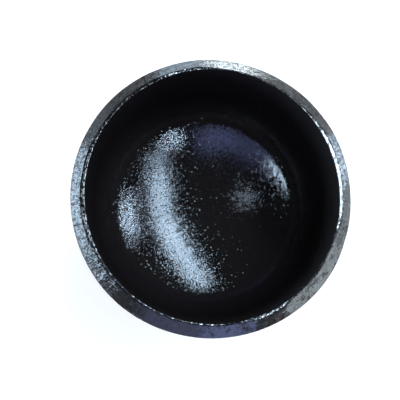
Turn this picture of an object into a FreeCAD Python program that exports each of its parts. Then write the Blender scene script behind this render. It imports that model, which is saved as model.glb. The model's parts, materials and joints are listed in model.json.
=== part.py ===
"""Butt-weld pipe cap: one pressed steel piece that closes the end of a pipe.

The cap is a straight collar that runs into a 2:1 elliptical crown. Its open end
is prepared for a butt weld, with a narrow flat root face and a bevel outside it.
It lies on its crown with the open end up. The origin is the centre of the weld
end, in the plane of the root face, and +Z points out of the cap towards the pipe.
"""

import FreeCAD, Part

import math
import os

# Driving dimensions, in millimetres and degrees. A nominal 4 inch cap, standard weight.
OUTSIDE_DIAMETER = 114.3
WALL = 6.02  # the same all over, as the blank it is pressed from
LENGTH = 64.0  # from the root face to the top of the crown
ROOT_FACE = 1.6  # width of the flat ring at the bore
BEVEL_ANGLE = 37.5  # between the bevel and the plane of the root face

# The pressing die's crown, as shares of the bore. The two radii are the pressure
# vessel code's form of a 2:1 ellipse: a spherical middle and a tighter knuckle.
CROWN_RADIUS_SHARE = 0.90
KNUCKLE_RADIUS_SHARE = 0.17

# What follows from them.
OUTER_RADIUS = OUTSIDE_DIAMETER / 2
BORE_RADIUS = OUTER_RADIUS - WALL
CROWN_RADIUS = CROWN_RADIUS_SHARE * 2 * BORE_RADIUS
KNUCKLE_RADIUS = KNUCKLE_RADIUS_SHARE * 2 * BORE_RADIUS
BEVEL_DEPTH = (WALL - ROOT_FACE) * math.tan(math.radians(BEVEL_ANGLE))

# The knuckle's centre circle lies at the tangent line, where collar meets crown.
# The crown's centre is on the axis above it, so that the two arcs meet smoothly.
KNUCKLE_CENTRE_RADIUS = BORE_RADIUS - KNUCKLE_RADIUS
CENTRE_DISTANCE = CROWN_RADIUS - KNUCKLE_RADIUS
CROWN_CENTRE_RISE = math.sqrt(CENTRE_DISTANCE**2 - KNUCKLE_CENTRE_RADIUS**2)
CROWN_DEPTH = CROWN_RADIUS - CROWN_CENTRE_RISE
TANGENT_Z = -(LENGTH - WALL - CROWN_DEPTH)
MEETING_ANGLE = math.asin(KNUCKLE_CENTRE_RADIUS / CENTRE_DISTANCE)


def at(radius, height):
    """A point of the half section: its distance from the axis, and its height."""
    return FreeCAD.Vector(radius, 0, height)


def arc_below(centre, radius, first_angle, last_angle):
    """An arc of the half section, with its angles measured from straight down."""
    points = []
    for angle in (first_angle, (first_angle + last_angle) / 2, last_angle):
        sideways = radius * math.sin(angle)
        downwards = radius * math.cos(angle)
        points.append(centre + FreeCAD.Vector(sideways, 0, -downwards))
    return Part.Arc(*points).toShape()


def crown_arcs(offset):
    """Knuckle and crown, at this distance outside the inner surface."""
    knuckle_centre = at(KNUCKLE_CENTRE_RADIUS, TANGENT_Z)
    crown_centre = at(0, TANGENT_Z + CROWN_CENTRE_RISE)
    return [
        arc_below(knuckle_centre, KNUCKLE_RADIUS + offset, math.pi / 2, MEETING_ANGLE),
        arc_below(crown_centre, CROWN_RADIUS + offset, MEETING_ANGLE, 0),
    ]


def half_section():
    """The wall cut through on one side of the axis, as a closed face."""
    bore_foot = at(BORE_RADIUS, TANGENT_Z)
    bore_edge = at(BORE_RADIUS, 0)
    root_edge = at(BORE_RADIUS + ROOT_FACE, 0)
    bevel_edge = at(OUTER_RADIUS, -BEVEL_DEPTH)
    outer_foot = at(OUTER_RADIUS, TANGENT_Z)
    crown_inside = at(0, WALL - LENGTH)
    crown_outside = at(0, -LENGTH)

    bore = Part.makeLine(bore_foot, bore_edge)
    root_face = Part.makeLine(bore_edge, root_edge)
    bevel = Part.makeLine(root_edge, bevel_edge)
    outside = Part.makeLine(bevel_edge, outer_foot)
    axis_wall = Part.makeLine(crown_outside, crown_inside)

    edges = [bore, root_face, bevel, outside, axis_wall]
    edges += crown_arcs(0)
    edges += crown_arcs(WALL)
    return Part.Face(Part.Wire(Part.__sortEdges__(edges)))


def cap_shell():
    """The whole cap, turned from its half section about the Z axis."""
    axis_point = FreeCAD.Vector(0, 0, 0)
    axis = FreeCAD.Vector(0, 0, 1)
    return half_section().revolve(axis_point, axis, 360)


def main():
    os.makedirs("parts", exist_ok=True)
    shell = cap_shell()
    shell.exportStep("parts/cap_shell.step")
    print(f"cap_shell: {shell.ShapeType}, valid {shell.isValid()}, volume {shell.Volume:.1f} mm3")
    print(f"bore {2 * BORE_RADIUS:.2f} mm, collar {-TANGENT_Z:.2f} mm, bevel {BEVEL_DEPTH:.2f} mm deep")
    print(f"crown radius {CROWN_RADIUS:.2f}, knuckle {KNUCKLE_RADIUS:.2f}, depth {CROWN_DEPTH:.2f} mm")


main()
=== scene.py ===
# %% [markdown]
# # A butt-weld pipe cap in black varnish
# The cap closes the end of a pipe. It is pressed hot from one disc of steel plate,
# so it is a single piece: a straight collar that runs into a domed crown. The open
# end is turned to a bevel for the weld, the whole cap is blasted with shot, and then
# it is dipped in black varnish. This notebook dresses the measured part: it turns a
# finely uneven skin on the same section, gives it three finishes, and lights it.

# %% Load the measured part
import json
import math

import bpy
import numpy as np
from mathutils import Matrix, Vector, noise


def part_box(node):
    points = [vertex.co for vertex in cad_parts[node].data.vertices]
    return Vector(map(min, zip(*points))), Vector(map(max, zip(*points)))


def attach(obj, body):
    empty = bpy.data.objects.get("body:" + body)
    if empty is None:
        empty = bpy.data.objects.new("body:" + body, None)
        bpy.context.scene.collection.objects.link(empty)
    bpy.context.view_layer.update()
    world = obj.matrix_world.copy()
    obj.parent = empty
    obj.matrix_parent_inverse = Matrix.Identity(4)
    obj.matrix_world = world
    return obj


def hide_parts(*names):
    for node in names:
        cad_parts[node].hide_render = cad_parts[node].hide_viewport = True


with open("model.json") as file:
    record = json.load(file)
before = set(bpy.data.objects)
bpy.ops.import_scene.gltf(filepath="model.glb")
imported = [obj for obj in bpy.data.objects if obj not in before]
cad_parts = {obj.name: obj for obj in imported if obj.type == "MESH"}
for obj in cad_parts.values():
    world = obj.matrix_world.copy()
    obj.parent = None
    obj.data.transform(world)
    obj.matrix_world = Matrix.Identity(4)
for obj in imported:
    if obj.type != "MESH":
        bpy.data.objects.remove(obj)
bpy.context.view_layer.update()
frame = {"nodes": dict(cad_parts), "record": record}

MM = 0.001
print("measured parts:", sorted(frame["nodes"]))

# %% [markdown]
# ## The sizes
# Nothing is measured twice. The frame knows the part's box and its mounts: the bore,
# the straight outside and the weld face. From those come the wall and the width of
# the root face, the narrow flat ring that touches nothing until the weld is made.
# The crown follows the rule that pressure vessels use for a flattened dome: a
# spherical middle of 0.90 and a knuckle of 0.17 of the bore.

# %% Sizes of the cap, in metres
low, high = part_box("cap_shell")
mounts = {mount["name"]: mount for mount in frame["record"]["mounts"]}
OUTER_RADIUS = mounts["pipe_outside"]["dims"]["r_mm"] * MM
BORE_RADIUS = mounts["pipe_bore"]["dims"]["r_mm"] * MM
COLLAR = mounts["pipe_bore"]["dims"]["length_mm"] * MM
ROOT_WIDTH = 2 * (mounts["weld_face"]["pos_m"][0] - BORE_RADIUS)
LENGTH = high.z - low.z
WALL = OUTER_RADIUS - BORE_RADIUS
BEVEL_ANGLE = math.radians(37.5)

CROWN_RADIUS = 0.90 * 2 * BORE_RADIUS
KNUCKLE_RADIUS = 0.17 * 2 * BORE_RADIUS
KNUCKLE_CENTRE = BORE_RADIUS - KNUCKLE_RADIUS
MEETING_ANGLE = math.asin(KNUCKLE_CENTRE / (CROWN_RADIUS - KNUCKLE_RADIUS))
TANGENT_Z = -COLLAR
CROWN_CENTRE_Z = CROWN_RADIUS + WALL - LENGTH
print(f"wall {WALL / MM:.2f} mm, root face {ROOT_WIDTH / MM:.2f} mm")
print(f"crown radius {CROWN_RADIUS / MM:.1f} mm, knuckle radius {KNUCKLE_RADIUS / MM:.1f} mm")

# %% [markdown]
# ## The camera
# It looks almost straight down into the open end, from about 200 mm away and a
# little to the front left, so the rim shows its bevel wider on that side. For a view
# this steep, Blender's usual tracking would roll the camera. Its three axes are
# worked out by hand instead, which keeps +Y at the top of the picture.

# %% Set up the camera
EYE = Vector((-0.0232, -0.0284, 0.1966))
AIM = Vector((-0.0060, -0.0030, 0.0))
FOCAL_LENGTH = 45.2  # in millimetres, as the sensor's width is
SENSOR_WIDTH = 36
NEAREST_SEEN = 0.01

forward = (AIM - EYE).normalized()
rightward = forward.cross(Vector((0, 1, 0))).normalized()
upward = rightward.cross(forward)
axes = Matrix((rightward, upward, -forward)).transposed().to_4x4()

camera_data = bpy.data.cameras.new("camera")
camera_data.lens = FOCAL_LENGTH
camera_data.sensor_width = SENSOR_WIDTH
camera_data.clip_start = NEAREST_SEEN
camera = bpy.data.objects.new("camera", camera_data)
camera.matrix_world = Matrix.Translation(EYE) @ axes
bpy.context.scene.collection.objects.link(camera)
bpy.context.scene.camera = camera
print(f"camera {EYE.length / MM:.0f} mm from the middle of the rim")

# %% [markdown]
# ## The weld end, all the way round
# A turned weld end is never quite even. The root face is wider where the pressing's
# wall is thick, and it is dressed by hand with a grinder, which leaves stretches
# that lean or that have nearly gone. The edge of the bore gets its own small
# chamfer. A few given values round the rim say how wide these are, how far they
# lean and how far handling has worn them bare. Two more lists say where the
# grinder's strokes and the grain of the blasting show in the bevel, and a last one
# how far the mouth swells out of round. A smooth periodic curve runs through each
# list. Angles and leans are in degrees, from +X and anticlockwise as seen from
# above. Widths and swellings are in millimetres.

# %% How the weld end changes round the rim
ROOT_WIDTHS = [(0, 1.4), (25, 1.5), (42, 0.6), (60, 0.25), (86, 0.5), (98, 1.2), (113, 0.9),
               (152, 0.9), (165, 1.3), (198, 1.6), (212, 0.8), (228, 0.6), (240, 0.3),
               (283, 0.3), (290, 1.3), (301, 1.3), (308, 0.3), (340, 0.3), (350, 1.4)]
ROOT_LEANS = [(0, 5), (45, 5), (60, 2), (95, 3), (110, 1), (160, 0), (206, 0), (235, 4),
              (285, 9), (291, 12), (303, 12), (310, 6), (345, 5)]
CHAMFER_WIDTHS = [(0, 0.12), (60, 0.14), (100, 0.22), (160, 0.25), (206, 0.22), (232, 0.35),
                  (262, 0.42), (287, 0.35), (303, 0.12)]
CHAMFER_LEAN = math.radians(20)
ROOT_WEAR = [(0, 0.95), (14, 0.95), (30, 0.7), (36, 0.5), (45, 0.25), (62, 0.05), (86, 0.2),
             (97, 0.42), (110, 0.4), (118, 0.15), (152, 0.2), (165, 0.42), (200, 0.45),
             (212, 0.35), (235, 0.05), (284, 0.1), (291, 0.48), (301, 0.48), (307, 0),
             (337, 0), (348, 0.7)]
CHAMFER_WEAR = [(0, 0.8), (40, 0.7), (62, 0.45), (80, 0.1), (98, 0.2), (110, 0.42),
                (156, 0.46), (162, 0.6), (206, 0.5), (212, 0.36), (235, 0.3), (250, 0.34),
                (270, 0.28), (288, 0.34), (303, 0.25), (312, 0.05), (341, 0.05)]
STROKES = [(0, 0.1), (150, 0.1), (188, 0.35), (206, 0.7), (222, 0.75), (228, 0.1), (300, 0.1)]
GRAIN = [(0, 0.9), (28, 0.9), (38, 0.45), (58, 0.45), (64, 0.8), (104, 0.8), (112, 0.55),
         (150, 0.55), (158, 0.9), (222, 1), (228, 0.25), (300, 0.25), (310, 0.6), (340, 0.6),
         (350, 0.8)]
OUT_OF_ROUND = [(0, 0.0), (42, 0.5), (72, 0.0), (108, -0.3), (135, 0.0), (180, 0.0),
                (228, 0.55), (262, 0.1), (290, 0.0), (327, 0.75), (350, 0.2)]


def round_the_rim(values, degrees):
    """A smooth periodic curve through given (angle, value) pairs."""
    angles = [angle for angle, _ in values] + [values[0][0] + 360]
    heights = [height for _, height in values] + [values[0][1]]
    degrees = degrees % 360
    index = max(i for i in range(len(values)) if angles[i] <= degrees)
    share = (degrees - angles[index]) / (angles[index + 1] - angles[index])
    ease = share * share * (3 - 2 * share)
    return heights[index] + (heights[index + 1] - heights[index]) * ease


print("root face at 190 degrees:", round_the_rim(ROOT_WIDTHS, 190), "mm")

# %% [markdown]
# ## One section of the wall
# The skin is made like a pot on a wheel: one section of the wall, carried round the
# axis. A Screw modifier would carry the same section all the way, but here the
# section changes as it goes, so it is worked out afresh at each angle. Every section
# has the same number of points in the same order. Corners get a small break, because
# a real edge is never sharp, and a broken edge is what catches the light.

# %% Helpers: arcs, lines and broken edges
MOST_OF_A_SIDE = 0.45


def arc(centre_radius, centre_z, radius, first, last, count):
    """Points on an arc, with its angles from straight down. The last point is left out."""
    steps = [first + (last - first) * i / count for i in range(count)]
    return [(centre_radius + radius * math.sin(a), centre_z - radius * math.cos(a)) for a in steps]


def straight(start, end, count, crowding=1.0):
    """Points on a line, its end left out. Crowding over 1 packs them towards the end."""
    shares = [1 - (1 - i / count) ** crowding for i in range(count)]
    return [(start[0] + (end[0] - start[0]) * s, start[1] + (end[1] - start[1]) * s)
            for s in shares]


def broken_edge(before, corner, after, size, count=4):
    """A corner rounded off by this size: a short curve that leans on the corner."""
    into = Vector(before) - Vector(corner)
    out = Vector(after) - Vector(corner)
    start = Vector(corner) + into.normalized() * min(size, into.length * MOST_OF_A_SIDE)
    end = Vector(corner) + out.normalized() * min(size, out.length * MOST_OF_A_SIDE)
    points = []
    for i in range(count):
        t = i / (count - 1)
        points.append(tuple(start * (1 - t) ** 2 + Vector(corner) * 2 * t * (1 - t) + end * t * t))
    return points


quarter = arc(0, 0, KNUCKLE_RADIUS, 0, math.pi / 2, 24)
print("points on a quarter turn of the knuckle:", len(quarter))

# %% Draw the section at one angle
BORE_BREAK = 0.08 * MM
CHAMFER_BREAK = 0.06 * MM
ROOT_BREAK = 0.3 * MM
OUTER_BREAK = 0.35 * MM
ROOT_EDGE_WEAR = 0.4
OUTER_EDGE_WEAR = 0.15


def section(degrees):
    """The whole wall cut at this angle, from the crown's middle inside to that outside."""
    chamfer = round_the_rim(CHAMFER_WIDTHS, degrees) * MM
    root = round_the_rim(ROOT_WIDTHS, degrees) * MM
    lean = math.radians(round_the_rim(ROOT_LEANS, degrees))
    swell = round_the_rim(OUT_OF_ROUND, degrees) * MM
    outer_radius = OUTER_RADIUS + swell
    root_drop = root * math.tan(lean)
    bevel_drop = root_drop + (outer_radius - BORE_RADIUS - chamfer - root) * math.tan(BEVEL_ANGLE)

    bore_foot = (BORE_RADIUS, TANGENT_Z)
    bore_edge = (BORE_RADIUS, -chamfer * math.tan(CHAMFER_LEAN))
    chamfer_edge = (BORE_RADIUS + chamfer, 0)
    root_edge = (BORE_RADIUS + chamfer + root, -root_drop)
    bevel_edge = (outer_radius, -bevel_drop)
    outer_foot = (OUTER_RADIUS, TANGENT_Z)

    bore_break = broken_edge(bore_foot, bore_edge, chamfer_edge, BORE_BREAK, 3)
    chamfer_break = broken_edge(bore_edge, chamfer_edge, root_edge, CHAMFER_BREAK, 3)
    root_break = broken_edge(chamfer_edge, root_edge, bevel_edge, ROOT_BREAK)
    outer_break = broken_edge(root_edge, bevel_edge, outer_foot, OUTER_BREAK)
    bore_lip = bore_break[:-1] + straight(bore_break[-1], chamfer_break[0], 2)

    root_wear = round_the_rim(ROOT_WEAR, degrees)
    chamfer_wear = round_the_rim(CHAMFER_WEAR, degrees)
    edge_wear = ROOT_EDGE_WEAR * max(0.5 * chamfer_wear, root_wear)
    strokes = round_the_rim(STROKES, degrees)
    grain = round_the_rim(GRAIN, degrees)

    outer_knuckle = KNUCKLE_RADIUS + WALL
    outer_crown = CROWN_RADIUS + WALL
    level = math.pi / 2
    # Each row: the zone, how worn it is, how smoothly it was faced, and its points.
    stretches = [
        ("inside", 0, 0, arc(0, CROWN_CENTRE_Z, CROWN_RADIUS, 0, MEETING_ANGLE, 20)),
        ("inside", 0, 0, arc(KNUCKLE_CENTRE, TANGENT_Z, KNUCKLE_RADIUS, MEETING_ANGLE, level, 24)),
        ("inside", 0, 0, straight(bore_foot, bore_break[0], 14, crowding=1.6)),
        ("weld_end", chamfer_wear, 1, bore_lip),
        ("weld_end", chamfer_wear, 1, chamfer_break[:-1]),
        ("weld_end", root_wear, 1, straight(chamfer_break[-1], root_break[0], 4)),
        ("weld_end", edge_wear, 0.6, root_break[:-1]),
        ("weld_end", 0, 0, straight(root_break[-1], outer_break[0], 11)),
        ("weld_end", OUTER_EDGE_WEAR, 0, outer_break[:-1]),
        ("outside", 0, 0, straight(outer_break[-1], outer_foot, 10)),
        ("outside", 0, 0, arc(KNUCKLE_CENTRE, TANGENT_Z, outer_knuckle, level, MEETING_ANGLE, 12)),
        ("outside", 0, 0, arc(0, CROWN_CENTRE_Z, outer_crown, MEETING_ANGLE, 0, 14)),
        ("outside", 0, 0, [(0, -LENGTH)]),
    ]
    points = []
    zones = []
    finish = []
    for zone, wear, faced, stretch in stretches:
        points += stretch
        zones += [zone] * len(stretch)
        finish += [(wear, faced, strokes, grain)] * len(stretch)
    return points, zones, finish


first_section, zones, _ = section(0)
print("points in a section:", len(first_section))

# %% [markdown]
# ## Carry the section round, and make it uneven
# A pressed and blasted wall waves a little, a ground edge waves more, and the edge of
# the bore is nicked. Each of these is a noise of its own size and depth that pushes
# points along the wall's normal, always into the metal on the outside, so that the
# cap keeps its measured size. A drop of varnish that dried on the knuckle is a small
# bump in the same sum. A step along X counts for less than one along Y or Z, which
# makes the drop wider that way.

# %% Work out where each point of the skin lies
SECTIONS = 720
CHANNELS = ["worn", "faced", "strokes", "grain"]
DROP_PLACE = Vector((-0.0010, 0.0437, -0.0468))
DROP_HEIGHT = 0.42 * MM
DROP_WIDTH = 1.2 * MM
DROP_STEP_ALONG_X = 0.6
LIP_WIDTH = 0.8 * MM


def wave(place, size, seed):
    """Noise between about -1 and 1, with features of this size."""
    return noise.noise(place / size + Vector((seed, 2.7 * seed, 5.1 * seed)))


def unevenness(place, zone, radius):
    """How far this point of the skin stands out from the true section, in metres."""
    if zone == "inside":
        height = 0.05 * MM * wave(place, 18 * MM, 1) + 0.012 * MM * wave(place, 4 * MM, 2)
        reach = place - DROP_PLACE
        reach.x *= DROP_STEP_ALONG_X
        drop = DROP_HEIGHT * math.exp(-((reach.length / DROP_WIDTH) ** 2))
        return height + drop
    if zone == "weld_end":
        nearness = math.exp(-(((radius - BORE_RADIUS) / LIP_WIDTH) ** 2))
        long_waves = -0.035 * MM * (1 + wave(place, 6 * MM, 3))
        short_waves = 0.02 * MM * (1 + wave(place, 1.6 * MM, 4))
        nicks = -0.25 * MM * max(0, wave(place, 2.2 * MM, 5))
        chips = -0.06 * MM * max(0, wave(place, 0.9 * MM, 8))
        return long_waves - short_waves + nearness * (nicks + chips)
    return -0.06 * MM * (1 + wave(place, 15 * MM, 6)) - 0.01 * MM * (1 + wave(place, 3 * MM, 7))


def skin_points():
    """Every point of the skin and the state of its finish, section by section."""
    rows = len(zones)
    places = np.zeros((SECTIONS, rows, 3))
    finish = np.zeros((SECTIONS, rows, len(CHANNELS)))
    for s in range(SECTIONS):
        degrees = 360 * s / SECTIONS
        outline, _, finish[s] = section(degrees)
        outline = np.array(outline)
        along = np.gradient(outline, axis=0)
        lengths = np.maximum(np.linalg.norm(along, axis=1), 1e-9)
        normals = np.stack([-along[:, 1], along[:, 0]], axis=1) / lengths[:, None]
        cosine = math.cos(math.radians(degrees))
        sine = math.sin(math.radians(degrees))
        for r in range(rows):
            radius, z = outline[r]
            place = Vector((radius * cosine, radius * sine, z))
            push = unevenness(place, zones[r], radius)
            radius += normals[r, 0] * push
            z += normals[r, 1] * push
            places[s, r] = (radius * cosine, radius * sine, z)
    return places, finish


places, finish = skin_points()
print("points on the skin:", places.shape[0] * places.shape[1])
print("tallest point:", round(float(places[:, :, 2].max()) / MM, 3), "mm")

# %% [markdown]
# ## Sew the skin
# The two ends of each section meet on the axis, so those points are one point each:
# a fan of triangles closes the crown inside and outside, and four-sided faces join
# neighbouring sections everywhere else. The result is one closed shell, like the
# steel itself. Each face remembers which of the three finishes it gets.

# %% Make the mesh
FINISHES = ["inside", "weld_end", "outside"]


def sew_skin(name):
    """The closed mesh of the cap, with a finish for each face."""
    rows = len(zones)
    body_rows = rows - 2
    vertices = [tuple(p) for p in places[:, 1:-1].reshape(-1, 3)]
    inner_pole = len(vertices)
    outer_pole = inner_pole + 1
    vertices += [tuple(places[0, 0]), tuple(places[0, -1])]
    faces = []
    finishes = []
    for s in range(SECTIONS):
        here = s * body_rows
        there = ((s + 1) % SECTIONS) * body_rows
        faces.append((inner_pole, here, there))
        finishes.append(FINISHES.index("inside"))
        for r in range(body_rows - 1):
            faces.append((here + r, here + r + 1, there + r + 1, there + r))
            finishes.append(FINISHES.index(zones[r + 1]))
        faces.append((here + body_rows - 1, outer_pole, there + body_rows - 1))
        finishes.append(FINISHES.index("outside"))
    mesh = bpy.data.meshes.new(name)
    mesh.from_pydata(vertices, [], faces)
    mesh.validate()
    mesh.polygons.foreach_set("material_index", finishes)
    mesh.polygons.foreach_set("use_smooth", [True] * len(mesh.polygons))
    for channel, label in enumerate(CHANNELS):
        marks = mesh.attributes.new(label, "FLOAT", "POINT")
        marks.data.foreach_set("value", list(finish[:, 1:-1, channel].reshape(-1)) + [0.0, 0.0])
    mesh.update()
    return mesh


skin = sew_skin("varnished_cap")
print("faces in the skin:", len(skin.polygons))

# %% [markdown]
# ## A helper for node graphs
# A material is a small graph. This helper makes a node, sets its options, and fills
# its inputs with either a value or a wire from another node, so that each finish
# below reads like a recipe.

# %% Helper: make a node
def add_node(tree, kind, inputs=None, **options):
    """A new node in this graph, with its options and inputs set."""
    node = tree.nodes.new(kind)
    for option, value in options.items():
        setattr(node, option, value)
    for socket, value in (inputs or {}).items():
        if isinstance(value, bpy.types.NodeSocket):
            tree.links.new(value, node.inputs[socket])
        else:
            node.inputs[socket].default_value = value
    return node


def empty_material(name):
    """A new material and its graph, with nothing in it yet."""
    material = bpy.data.materials.new(name)
    material.use_nodes = True
    material.node_tree.nodes.clear()
    return material, material.node_tree


node_kinds = [kind for kind in dir(bpy.types) if kind.startswith("ShaderNode")]
print("kinds of shader node to choose from:", len(node_kinds))

# %% [markdown]
# ## The varnish
# The varnish is thin, black and glossy, and it lies over steel that was blasted with
# shot. The shot leaves dimples about half a millimetre across, the varnish follows
# them, and each dimple mirrors the lamps at its own angle. That is why a highlight
# on the cap breaks up into bright and dark grains. A Bump node could do this, but it
# takes slopes over a step nearly as wide as these dimples. A steadier way is used: a
# random colour is read as a direction, and tilts the surface normal. Noise gives
# tilts that flow into each other, and Voronoi cells give the few dimples that catch
# a lamp on their own.

# %% Helpers for grain and patches
RARENESS = 6


def spread_noise(tree, coordinates, size, low_value, high_value, detail=2, edges=(0.35, 0.65)):
    """A noise of this size, spread between two values."""
    patches = add_node(tree, "ShaderNodeTexNoise",
                       {"Vector": coordinates, "Scale": 1 / size, "Detail": detail})
    spread = add_node(tree, "ShaderNodeMapRange",
                      {"Value": patches.outputs["Fac"], "From Min": edges[0], "From Max": edges[1],
                       "To Min": low_value, "To Max": high_value})
    return spread.outputs["Result"]


def tilts_of_dimples(tree, coordinates, size, calm, wild):
    """A random tilt for each dimple. Most are as small as calm, and a few grow towards wild."""
    cells = add_node(tree, "ShaderNodeTexVoronoi", {"Vector": coordinates, "Scale": 1 / size})
    chance = add_node(tree, "ShaderNodeTexWhiteNoise", {"Vector": cells.outputs["Position"]})
    rare = add_node(tree, "ShaderNodeMath",
                    {0: chance.outputs["Value"], 1: RARENESS}, operation="POWER")
    strength = add_node(tree, "ShaderNodeMapRange",
                        {"Value": rare.outputs[0], "To Min": calm, "To Max": wild})
    return cells.outputs["Color"], strength.outputs["Result"]


def tilts_of_waves(tree, coordinates, size, strength):
    """A tilt that flows from place to place, in waves of this size."""
    waves = add_node(tree, "ShaderNodeTexNoise",
                     {"Vector": coordinates, "Scale": 1 / size, "Detail": 1, "Roughness": 0.6})
    return waves.outputs["Color"], strength


def tilted_normal(tree, tilts):
    """The surface normal with these tilts added: each is a random colour and a strength."""
    normal = add_node(tree, "ShaderNodeNewGeometry").outputs["Normal"]
    for colour, strength in tilts:
        centred = add_node(tree, "ShaderNodeVectorMath",
                           {0: colour, 1: (0.5, 0.5, 0.5)}, operation="SUBTRACT")
        scaled = add_node(tree, "ShaderNodeVectorMath",
                          {0: centred.outputs[0], "Scale": strength}, operation="SCALE")
        summed = add_node(tree, "ShaderNodeVectorMath",
                          {0: normal, 1: scaled.outputs[0]}, operation="ADD")
        normal = summed.outputs[0]
    return add_node(tree, "ShaderNodeVectorMath", {0: normal}, operation="NORMALIZE").outputs[0]


def mix_colours(tree, share, first, second):
    """A blend of two colours, each a triple or a wire."""
    first = (*first, 1) if isinstance(first, tuple) else first
    second = (*second, 1) if isinstance(second, tuple) else second
    mix = add_node(tree, "ShaderNodeMix", {"Factor": share}, data_type="RGBA")
    for socket, value in (("A", first), ("B", second)):
        target = next(i for i in mix.inputs if i.name == socket and i.type == "RGBA")
        if isinstance(value, bpy.types.NodeSocket):
            tree.links.new(value, target)
        else:
            target.default_value = value
    return next(o for o in mix.outputs if o.type == "RGBA")


print(f"one dimple in {1 / (1 - 0.5 ** (1 / RARENESS)):.0f} tilts more than half way to its most")

# %% [markdown]
# ## Inside and outside
# Both walls get the same recipe. The base colour is almost black, and nearly all the
# light comes from the mirror layer above it. The inside is glossier, because varnish
# pooled there while it dried. Its black is a shade lighter and redder low in the cap,
# which is painted light, and darker up the straight wall to the open end, which is
# painted shade. The outside is greyer near the weld end, where dust dulls it. A
# Glossy shader would look the same from one side, but the Principled one also gets
# the brighter mirror at a grazing angle right.

# %% Make the varnish of the inside and the outside
VARNISH_IOR = 1.69
PATCH_BLACK = (0.015, 0.0138, 0.0138)


def black_varnish(name, size, calm, wild, roughness, dust, crown_black, end_black_dust_and_painted_shade):
    """Gloss black varnish over a blasted wall. Dust dulls it near the weld end, where its black
    changes too: dust outside, painted shade inside.
    """
    material, tree = empty_material(name)
    coordinates = add_node(tree, "ShaderNodeTexCoord").outputs["Object"]
    normal = tilted_normal(tree, [tilts_of_dimples(tree, coordinates, size, 0, wild),
                                  tilts_of_waves(tree, coordinates, size, calm),
                                  tilts_of_waves(tree, coordinates, 1.8 * MM, 0.06)])
    height = add_node(tree, "ShaderNodeSeparateXYZ", {0: coordinates}).outputs["Z"]
    near_end = add_node(tree, "ShaderNodeMapRange",
                        {"Value": height, "From Min": TANGENT_Z - 0.25 * COLLAR,
                         "From Max": TANGENT_Z + 0.4 * COLLAR}).outputs["Result"]
    # The black changes with height. Inside, it is painted light low in the cap and painted shade
    # towards the open end. Outside, it is dust near the weld end.
    black = mix_colours(tree, near_end, crown_black, end_black_dust_and_painted_shade)
    patches = spread_noise(tree, coordinates, 7 * MM, 0, 0.35)
    colour = mix_colours(tree, patches, black, PATCH_BLACK)
    gloss = spread_noise(tree, coordinates, 3 * MM, *roughness)
    dull = add_node(tree, "ShaderNodeMath",
                    {0: near_end, 1: dust, 2: gloss}, operation="MULTIPLY_ADD")
    shader = add_node(tree, "ShaderNodeBsdfPrincipled",
                      {"Base Color": colour,
                       "Roughness": dull.outputs[0],
                       "IOR": VARNISH_IOR,
                       "Normal": normal})
    add_node(tree, "ShaderNodeOutputMaterial", {"Surface": shader.outputs[0]})
    return material


# Inside, the crown's black is lighter and redder and the end's darker: painted light low in the
# cap, painted shade near the open end.
inside_varnish = black_varnish("varnish_inside", size=0.4 * MM, calm=0.28, wild=0.38,
                               roughness=(0.05, 0.11), dust=0.05,
                               crown_black=(0.0144, 0.0094, 0.0094),
                               end_black_dust_and_painted_shade=(0.0098, 0.008, 0.0078))
outside_varnish = black_varnish("varnish_outside", size=0.5 * MM, calm=0.35, wild=0.6,
                                roughness=(0.12, 0.24), dust=0.3,
                                crown_black=(0.01, 0.0094, 0.0094),
                                end_black_dust_and_painted_shade=(0.015, 0.0144, 0.0138))
print("nodes in the inside's varnish:", len(inside_varnish.node_tree.nodes))

# %% [markdown]
# ## The finish of the weld end
# The dip leaves less varnish on the machined faces, and every knock lands on them
# first. Bare steel shows where the wear from the lists above meets a noise of chips.
# Under the varnish lie the marks of the tools: fine grooves from the lathe that run
# round the rim, strokes from the grinder that cross it, and the blasting's grain.
# One noise makes both kinds of mark, because its coordinates are stretched either
# along the rim or across it. Patches of grime and soot dull the varnish, and a few
# small spots have rusted.

# %% Make the varnish of the weld end
THIN_VARNISH_IOR = 1.377
CLEAN_BLACK = (0.0088, 0.0081, 0.0081)
GRIMY_BLACK = (0.005, 0.0044, 0.0044)
RUST = (0.112, 0.062, 0.05)
BARE_STEEL = (0.62, 0.585, 0.55)
TURNED = (7 * MM, 0.6 * MM)
GROUND = (0.7 * MM, 5 * MM)
CHIPPED = (1.2 * MM, 0.6 * MM)


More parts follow.
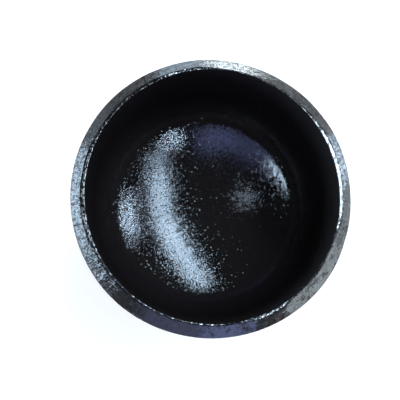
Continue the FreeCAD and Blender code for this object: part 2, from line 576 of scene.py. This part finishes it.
def weld_end_varnish(name):
    """Thinner varnish over turned and ground steel."""
    material, tree = empty_material(name)
    coordinates = add_node(tree, "ShaderNodeTexCoord").outputs["Object"]
    parts = add_node(tree, "ShaderNodeSeparateXYZ", {0: coordinates})
    flat = add_node(tree, "ShaderNodeCombineXYZ",
                    {0: parts.outputs["X"], 1: parts.outputs["Y"]}).outputs[0]
    radius = add_node(tree, "ShaderNodeVectorMath", {0: flat}, operation="LENGTH").outputs["Value"]
    heading = add_node(tree, "ShaderNodeVectorMath", {0: flat}, operation="NORMALIZE").outputs[0]

    def swept(along, across):
        """Coordinates for marks this long round the rim and this fine across it."""
        round_rim = add_node(tree, "ShaderNodeVectorMath",
                             {0: heading, "Scale": OUTER_RADIUS / along}, operation="SCALE")
        out = add_node(tree, "ShaderNodeMath", {0: radius, 1: 1 / across}, operation="MULTIPLY")
        up = add_node(tree, "ShaderNodeCombineXYZ", {2: out.outputs[0]})
        both = add_node(tree, "ShaderNodeVectorMath",
                        {0: round_rim.outputs[0], 1: up.outputs[0]}, operation="ADD")
        return both.outputs[0]

    strokes = add_node(tree, "ShaderNodeAttribute", attribute_name="strokes").outputs["Fac"]
    faced = add_node(tree, "ShaderNodeAttribute", attribute_name="faced").outputs["Fac"]
    worn_off = add_node(tree, "ShaderNodeAttribute", attribute_name="worn").outputs["Fac"]
    grain = add_node(tree, "ShaderNodeAttribute", attribute_name="grain").outputs["Fac"]
    chips = spread_noise(tree, swept(*CHIPPED), 1, -0.4, 0.4, edges=(0.3, 0.7))
    bare = add_node(tree, "ShaderNodeMath", {0: worn_off, 1: chips}, operation="ADD").outputs[0]
    bare = add_node(tree, "ShaderNodeMapRange",
                    {"Value": bare, "From Min": 0.4, "From Max": 0.65}).outputs["Result"]
    calm = add_node(tree, "ShaderNodeMapRange",
                    {"Value": faced, "To Min": 0.42, "To Max": 0.15}).outputs["Result"]
    calm = add_node(tree, "ShaderNodeMath", {0: calm, 1: grain}, operation="MULTIPLY").outputs[0]
    wild = add_node(tree, "ShaderNodeMath", {0: 0.7, 1: grain}, operation="MULTIPLY").outputs[0]
    grooves = add_node(tree, "ShaderNodeMapRange",
                       {"Value": faced, "To Min": 0.15, "To Max": 0.6}).outputs["Result"]
    normal = tilted_normal(tree, [tilts_of_dimples(tree, coordinates, 0.5 * MM, 0.05, wild),
                                  tilts_of_waves(tree, coordinates, 0.55 * MM, calm),
                                  tilts_of_waves(tree, swept(*TURNED), 1, grooves),
                                  tilts_of_waves(tree, swept(*GROUND), 1, strokes),
                                  tilts_of_waves(tree, coordinates, 2.2 * MM, 0.14)])
    blotches = spread_noise(tree, coordinates, 4.5 * MM, 0, 1, detail=4, edges=(0.5, 0.62))
    grime = mix_colours(tree, blotches, CLEAN_BLACK, GRIMY_BLACK)
    rust = spread_noise(tree, coordinates, 3 * MM, 0, 0.6, detail=3, edges=(0.66, 0.74))
    colour = mix_colours(tree, rust, grime, RUST)
    colour = mix_colours(tree, bare, colour, BARE_STEEL)
    smear = spread_noise(tree, coordinates, 4 * MM, 0.12, 0.22, detail=3)
    soot = spread_noise(tree, coordinates, 2.4 * MM, 0, 0.3, detail=3, edges=(0.56, 0.66))
    smear = add_node(tree, "ShaderNodeMath", {0: smear, 1: soot}, operation="ADD").outputs[0]
    rough = add_node(tree, "ShaderNodeMath",
                     {0: smear, 1: bare, 2: smear}, operation="MULTIPLY_ADD")
    shader = add_node(tree, "ShaderNodeBsdfPrincipled",
                      {"Base Color": colour,
                       "Metallic": bare,
                       "Roughness": rough.outputs[0],
                       "IOR": THIN_VARNISH_IOR,
                       "Normal": normal})
    add_node(tree, "ShaderNodeOutputMaterial", {"Surface": shader.outputs[0]})
    return material


for coat in (inside_varnish, weld_end_varnish("varnish_weld_end"), outside_varnish):
    skin.materials.append(coat)
print("finishes:", [coat.name for coat in skin.materials])

# %% [markdown]
# ## Put the dressed cap in place
# The skin is drawn in the measured part's own frame, so it needs no fitting. It rides
# on the part's only body and stands for the plain shell, which then isn't shown.

# %% Dress the measured part
varnished_cap = bpy.data.objects.new("varnished_cap", skin)
bpy.context.scene.collection.objects.link(varnished_cap)
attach(varnished_cap, "root")
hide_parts("cap_shell")
print("cap dressed")

# %% [markdown]
# ## The floor
# A plain pale sheet lies under the crown. It is large, so that it fills the picture
# and shows in the bevel. Some of its brightness is there only for the eye and for
# mirrors, from a Light Path node, which turns it white without lighting the cap more.

# %% Lay the floor
FLOOR_RADIUS = 1.3
FLOOR_SIDES = 64
PAPER = (0.82, 0.715, 0.65, 1)
PAPER_LIFT = 0.45


def pale_floor_material():
    """Pale paper, lifted to white for the eye and for mirrors alone."""
    material, tree = empty_material("pale_floor")
    path = add_node(tree, "ShaderNodeLightPath")
    seen = add_node(tree, "ShaderNodeMath",
                    {0: path.outputs["Is Camera Ray"], 1: path.outputs["Is Glossy Ray"]},
                    operation="MAXIMUM")
    seen = add_node(tree, "ShaderNodeMath",
                    {0: seen.outputs[0], 1: path.outputs["Is Transmission Ray"]},
                    operation="MAXIMUM")
    lift = add_node(tree, "ShaderNodeMath",
                    {0: seen.outputs[0], 1: PAPER_LIFT}, operation="MULTIPLY")
    paper = add_node(tree, "ShaderNodeBsdfDiffuse", {"Color": PAPER})
    glow = add_node(tree, "ShaderNodeEmission", {"Strength": lift.outputs[0]})
    both = add_node(tree, "ShaderNodeAddShader", {0: paper.outputs[0], 1: glow.outputs[0]})
    add_node(tree, "ShaderNodeOutputMaterial", {"Surface": both.outputs[0]})
    return material


corners = []
for i in range(FLOOR_SIDES):
    angle = 2 * math.pi * i / FLOOR_SIDES
    corners.append((FLOOR_RADIUS * math.cos(angle), FLOOR_RADIUS * math.sin(angle), low.z))
floor_mesh = bpy.data.meshes.new("floor")
floor_mesh.from_pydata(corners, [], [tuple(range(FLOOR_SIDES))])
floor_mesh.materials.append(pale_floor_material())
floor = bpy.data.objects.new("floor", floor_mesh)
bpy.context.scene.collection.objects.link(floor)
print(f"floor at {low.z / MM:.1f} mm")

# %% [markdown]
# ## The lamps
# Gloss black has hardly any colour of its own: what the eye sees in it is the room.
# So the lamps are placed by what the crown and the bevel mirror. The crown is a
# hollow mirror that sends the eye's line up through the open end, and a panel
# overhead shows up in it small and bent. Four panels there make one long window. A
# narrower pane stands beside it, another at the left, with one small lamp. The bevel
# looks out sideways, so low panels stand at the left, at the back and at the right.
# Dim blue ones stand in front, where a person would. A panel's power is worked out
# from its radiance, times its area and pi. A narrow spread keeps a low panel's light
# off the floor, and its power is cut so that its radiance stays as given.

# %% Helper: make a lamp
def panel(name, place, size, radiance, colour, turn=(0, 0, 0), spread=180):
    """A rectangular lamp, facing down until it is turned. Turn and spread are in degrees."""
    light = bpy.data.lights.new(name, "AREA")
    light.shape = "RECTANGLE"
    light.size, light.size_y = size
    light.color = colour
    light.energy = radiance * math.pi * size[0] * size[1]
    if spread < 180:
        half = math.radians(spread / 2)
        light.spread = 2 * half
        light.energy *= 1 - half / math.tan(half)
    lamp = bpy.data.objects.new(name, light)
    lamp.location = place
    lamp.rotation_euler = [math.radians(angle) for angle in turn]
    bpy.context.scene.collection.objects.link(lamp)


half = math.radians(50)
print(f"a spread of 100 degrees leaves {1 - half / math.tan(half):.2f} of a panel's power")

# %% Hang the lamps
PANEL_HEIGHT = 1.2
DAYLIGHT = (0.75, 1.0, 1.26)
BLUE = (0.72, 0.9, 1.95)
CLOUD = (0.86, 1.0, 1.08)

panel("window", (0.618, 0.068, PANEL_HEIGHT), (0.19, 0.733), 11.4, DAYLIGHT, (0, 0, 11.2))
panel("window_far", (0.37, 0.81, PANEL_HEIGHT), (0.25, 1.063), 12.1, DAYLIGHT, (0, 0, 23.2))
panel("window_end", (0.55, -0.71, PANEL_HEIGHT), (0.17, 0.06), 48, DAYLIGHT, (0, 0, 9.7))
panel("window_link", (0.71, -0.45, PANEL_HEIGHT), (0.226, 0.15), 6.8, DAYLIGHT, (0, 0, 28.5))
panel("narrow_pane", (1.205, 0.37, PANEL_HEIGHT), (0.05, 0.6), 54.4, DAYLIGHT, (0, 0, -4))
panel("left_pane", (-0.965, -0.255, PANEL_HEIGHT), (0.05, 0.52), 44.8, DAYLIGHT, (0, 0, 50))
panel("small_lamp", (-0.38, 0.006, PANEL_HEIGHT), (0.06, 0.06), 25.6, DAYLIGHT)
panel("left_low", (-0.6, -0.05, 0.068), (0.11, 0.78), 27.2, DAYLIGHT, (0, -90, 0), 130)
panel("back_low", (0.1, 0.39, 0.015), (0.12, 0.14), 36.8, CLOUD, (-90, 0, 0), 100)
panel("back_dim", (-0.05, 0.41, 0.015), (0.15, 0.14), 7.44, DAYLIGHT, (-90, 0, 0), 100)
panel("left_dim", (-0.4, 0.33, 0.02), (0.12, 0.14), 1.44, DAYLIGHT, (0, -90, -40), 100)
panel("right_low", (0.43, -0.25, 0.0), (0.12, 0.32), 6.4, CLOUD, (0, 90, -30), 120)
panel("right_back_low", (0.41, 0.155, -0.02), (0.07, 0.14), 21.6, DAYLIGHT, (0, 90, 21), 100)
panel("right_dim", (0.42, 0.0, -0.01), (0.08, 0.13), 4.4, CLOUD, (0, 90, 0), 100)
panel("blue_high", (-0.037, -0.711, PANEL_HEIGHT), (0.452, 0.336), 0.88, BLUE, (0, 0, 6.7))
panel("blue_side", (-0.577, -0.572, PANEL_HEIGHT), (0.675, 0.339), 0.544, BLUE, (0, 0, -16.3))
panel("blue_low", (0.12, -0.65, 0.1), (0.22, 0.24), 2.72, BLUE, (90, 0, 0))
panel("blue_low_end", (-0.17, -0.63, 0.1), (0.34, 0.24), 1.04, BLUE, (90, 0, -8))

# %% [markdown]
# ## The room around
# The rest of the room is plain: pale near the horizon, where walls would be, and dim
# overhead, so that the crown stays black between the lamps.

# %% Paint the room
WALL_LIGHT = 0.5
CEILING_LIGHT = 0.025
WALL_TOP = 0.1
CEILING_EDGE = 0.5


def paint_room(tree):
    """Pale walls that fade into a dim ceiling. The camera itself sees white."""
    tree.nodes.clear()
    direction = add_node(tree, "ShaderNodeTexCoord").outputs["Generated"]
    height = add_node(tree, "ShaderNodeSeparateXYZ", {0: direction}).outputs["Z"]
    room = add_node(tree, "ShaderNodeMapRange",
                    {"Value": height, "From Min": WALL_TOP, "From Max": CEILING_EDGE,
                     "To Min": WALL_LIGHT, "To Max": CEILING_LIGHT})
    path = add_node(tree, "ShaderNodeLightPath")
    seen = add_node(tree, "ShaderNodeMath",
                    {0: path.outputs["Is Camera Ray"], 1: path.outputs["Is Transmission Ray"]},
                    operation="MAXIMUM")
    strength = add_node(tree, "ShaderNodeMath",
                        {0: room.outputs["Result"], 1: seen.outputs[0]}, operation="MAXIMUM")
    background = add_node(tree, "ShaderNodeBackground",
                          {"Color": (1, 1, 1, 1), "Strength": strength.outputs[0]})
    add_node(tree, "ShaderNodeOutputWorld", {"Surface": background.outputs[0]})


world = bpy.data.worlds.new("room")
bpy.context.scene.world = world
world.use_nodes = True
paint_room(world.node_tree)
bpy.context.scene.view_settings.view_transform = "Standard"
print("nodes in the room:", len(world.node_tree.nodes))

# %% [markdown]
